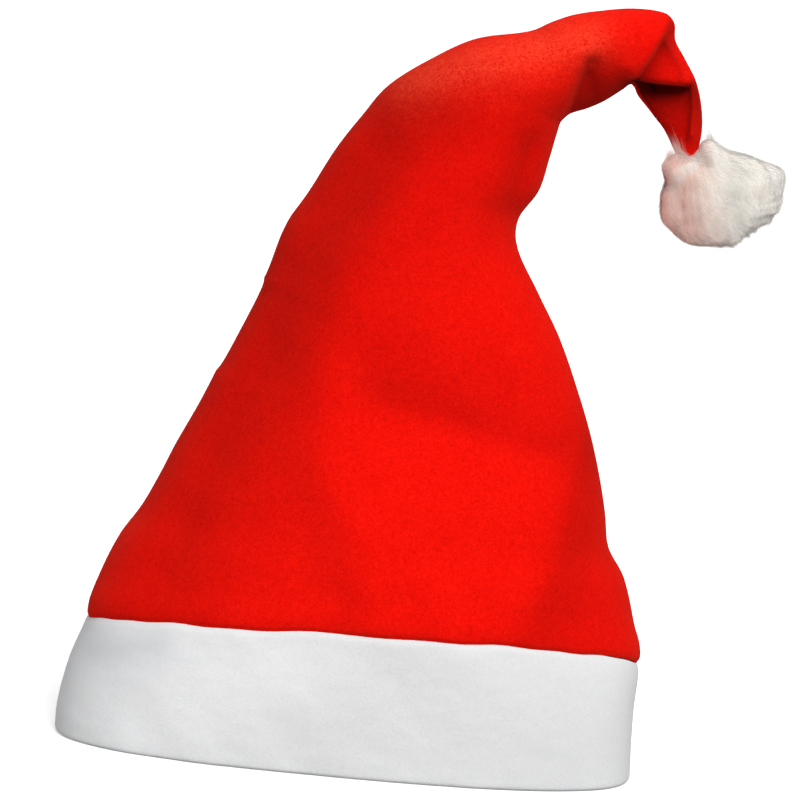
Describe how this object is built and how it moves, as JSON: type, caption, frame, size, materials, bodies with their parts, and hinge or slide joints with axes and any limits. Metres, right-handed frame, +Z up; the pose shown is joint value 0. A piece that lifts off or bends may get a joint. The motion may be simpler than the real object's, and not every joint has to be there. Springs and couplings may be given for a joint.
{
  "type": "santa hat",
  "caption": "Red felt santa hat standing on its white band, its pointed top bent over to one side and ending in a white fibre pompom.",
  "frame": {"origin": "on the floor under the middle of the hat's box", "axes": "+Z up from the rim, +X towards the side that the top bends to, -Y the hat's front"},
  "size_m": [0.2702, 0.1208, 0.3048],
  "materials": {
    "red_felt": "matt needled felt with a fine nap",
    "white_felt": "matt needled felt with a fine nap",
    "pompom_fibre": "loose fluffy fibre"
  },
  "bodies": {
    "root": {"crown_front_panel": "red_felt", "crown_back_panel": "red_felt", "band": "white_felt", "pompom": "pompom_fibre"}
  },
  "joints": []
}
